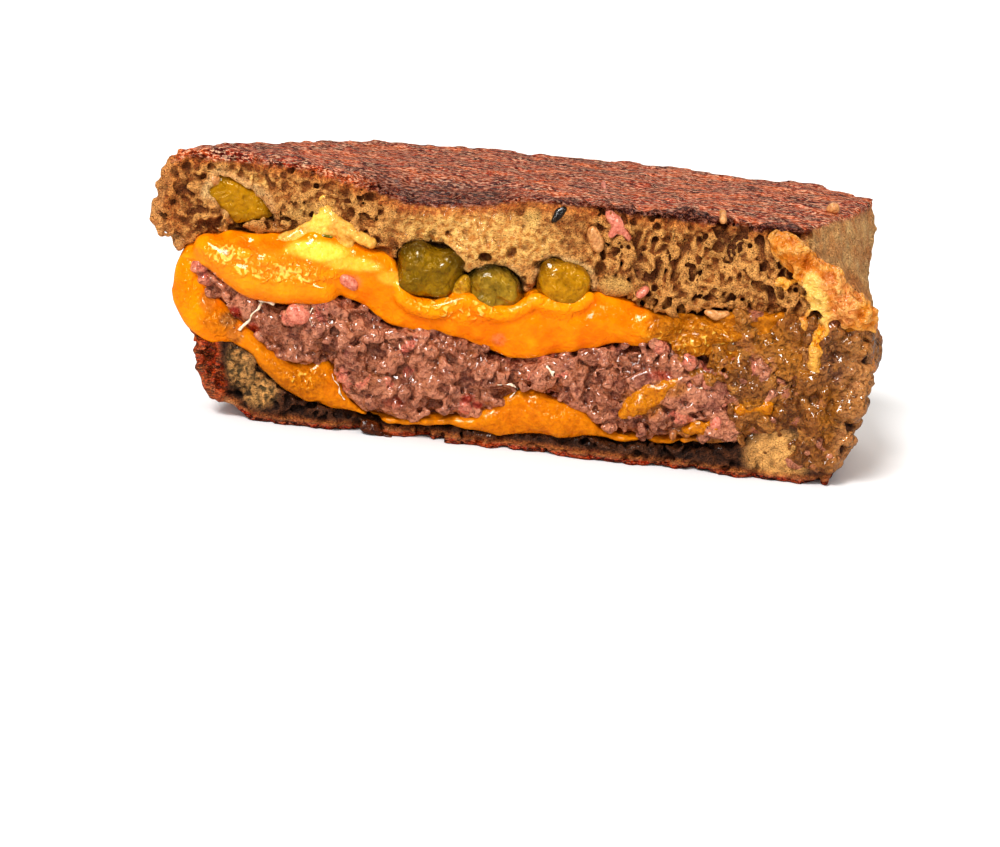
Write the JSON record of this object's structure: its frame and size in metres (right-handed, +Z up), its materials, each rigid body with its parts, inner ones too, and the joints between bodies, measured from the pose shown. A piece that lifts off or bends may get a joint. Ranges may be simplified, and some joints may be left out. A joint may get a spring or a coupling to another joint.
{
  "type": "patty melt",
  "caption": "Half of a cut patty melt: griddled rye slices round a beef patty, melted cheese on both sides of it, and pickle pieces showing in the cut.",
  "frame": {"origin": "middle of the flat base, under the middle of the whole half", "axes": "+X right along the cut face, +Y back from the cut face to the rounded crust, +Z up"},
  "size_m": [0.1346, 0.056, 0.0483],
  "materials": {
    "lower_bread": "open brown rye crumb with a dark fried underside",
    "lower_cheese": "wet melted orange cheese",
    "beef": "moist coarse ground beef, mauve brown with pink granules",
    "upper_cheese": "wet melted orange cheese with a pale yellow patch",
    "upper_bread": "rye crumb under a dark mahogany fried face",
    "pickle": "wet olive green pickle",
    "pickle_skin": "dark bumpy pickle skin",
    "fried_cheese": "crisp fried cheese, orange brown with a pale lip"
  },
  "bodies": {
    "root": {"lower_slice": "lower_bread", "lower_cheese": "lower_cheese", "patty": "beef", "upper_cheese": "upper_cheese", "upper_slice": "upper_bread", "pickle_round": "pickle", "pickle_dark": "pickle_skin", "pickle_pale": "pickle", "pickle_wedge": "pickle", "cheese_flap": "fried_cheese"}
  },
  "joints": []
}
